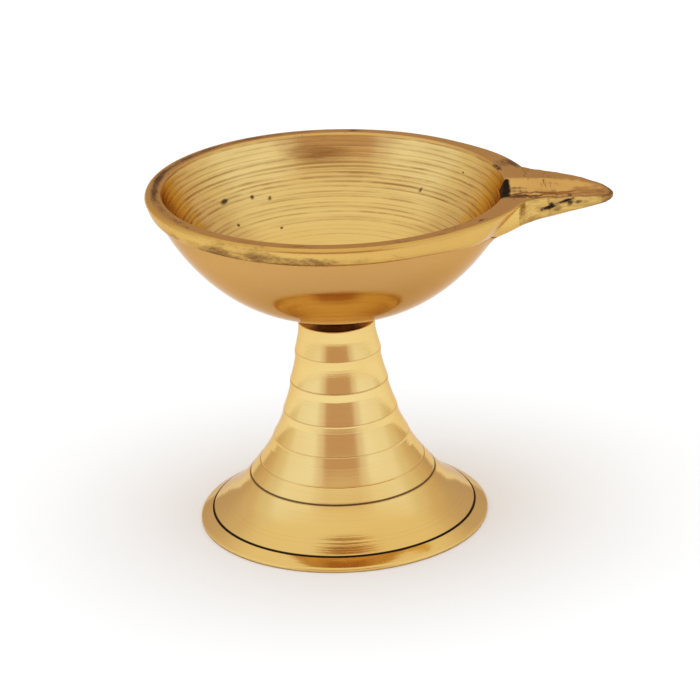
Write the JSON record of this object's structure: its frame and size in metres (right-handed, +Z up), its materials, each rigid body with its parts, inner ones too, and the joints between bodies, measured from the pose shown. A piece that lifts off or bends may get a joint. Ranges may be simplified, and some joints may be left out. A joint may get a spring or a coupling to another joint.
{
  "type": "pedestal diya oil lamp",
  "caption": "Brass oil lamp: a round bowl with a beaked wick spout, held by a stud and nut on a hollow ribbed pedestal foot.",
  "frame": {"origin": "centre of the foot ring, on the surface that the lamp stands on", "axes": "+Z up along the axis of the pedestal and bowl, +X towards the spout's tip"},
  "size_m": [0.0916, 0.0738, 0.0698],
  "materials": {
    "bowl_brass": "turned and polished, tarnished at the rim and spout",
    "pedestal_brass": "turned and polished outside, as cast inside",
    "stud_brass": "threaded, dull",
    "washer_brass": "stamped, dull",
    "nut_brass": "turned, dull"
  },
  "bodies": {
    "stand": {"pedestal": "pedestal_brass"},
    "bowl_top": {"bowl": "bowl_brass", "joining_stud": "stud_brass"},
    "loose_washer": {"washer": "washer_brass"},
    "nut": {"hex_nut": "nut_brass"}
  },
  "joints": [
    {"name": "bowl_lift", "type": "slide", "parent": "stand", "child": "bowl_top", "axis": [0, 0, 1], "range_m": [0, 0.014]},
    {"name": "washer_drop", "type": "slide", "parent": "stand", "child": "loose_washer", "axis": [0, 0, -1], "range_m": [0, 0.0064]},
    {"name": "nut_turn", "type": "hinge", "parent": "loose_washer", "child": "nut", "pos_m": [0, 0, 0.035], "axis": [0, 0, -1], "range_deg": [0, 2880]}
  ],
  "couplings": [
    {"joint": "nut_turn", "follows": "washer_drop", "rad_per_m": 7853.9}
  ]
}
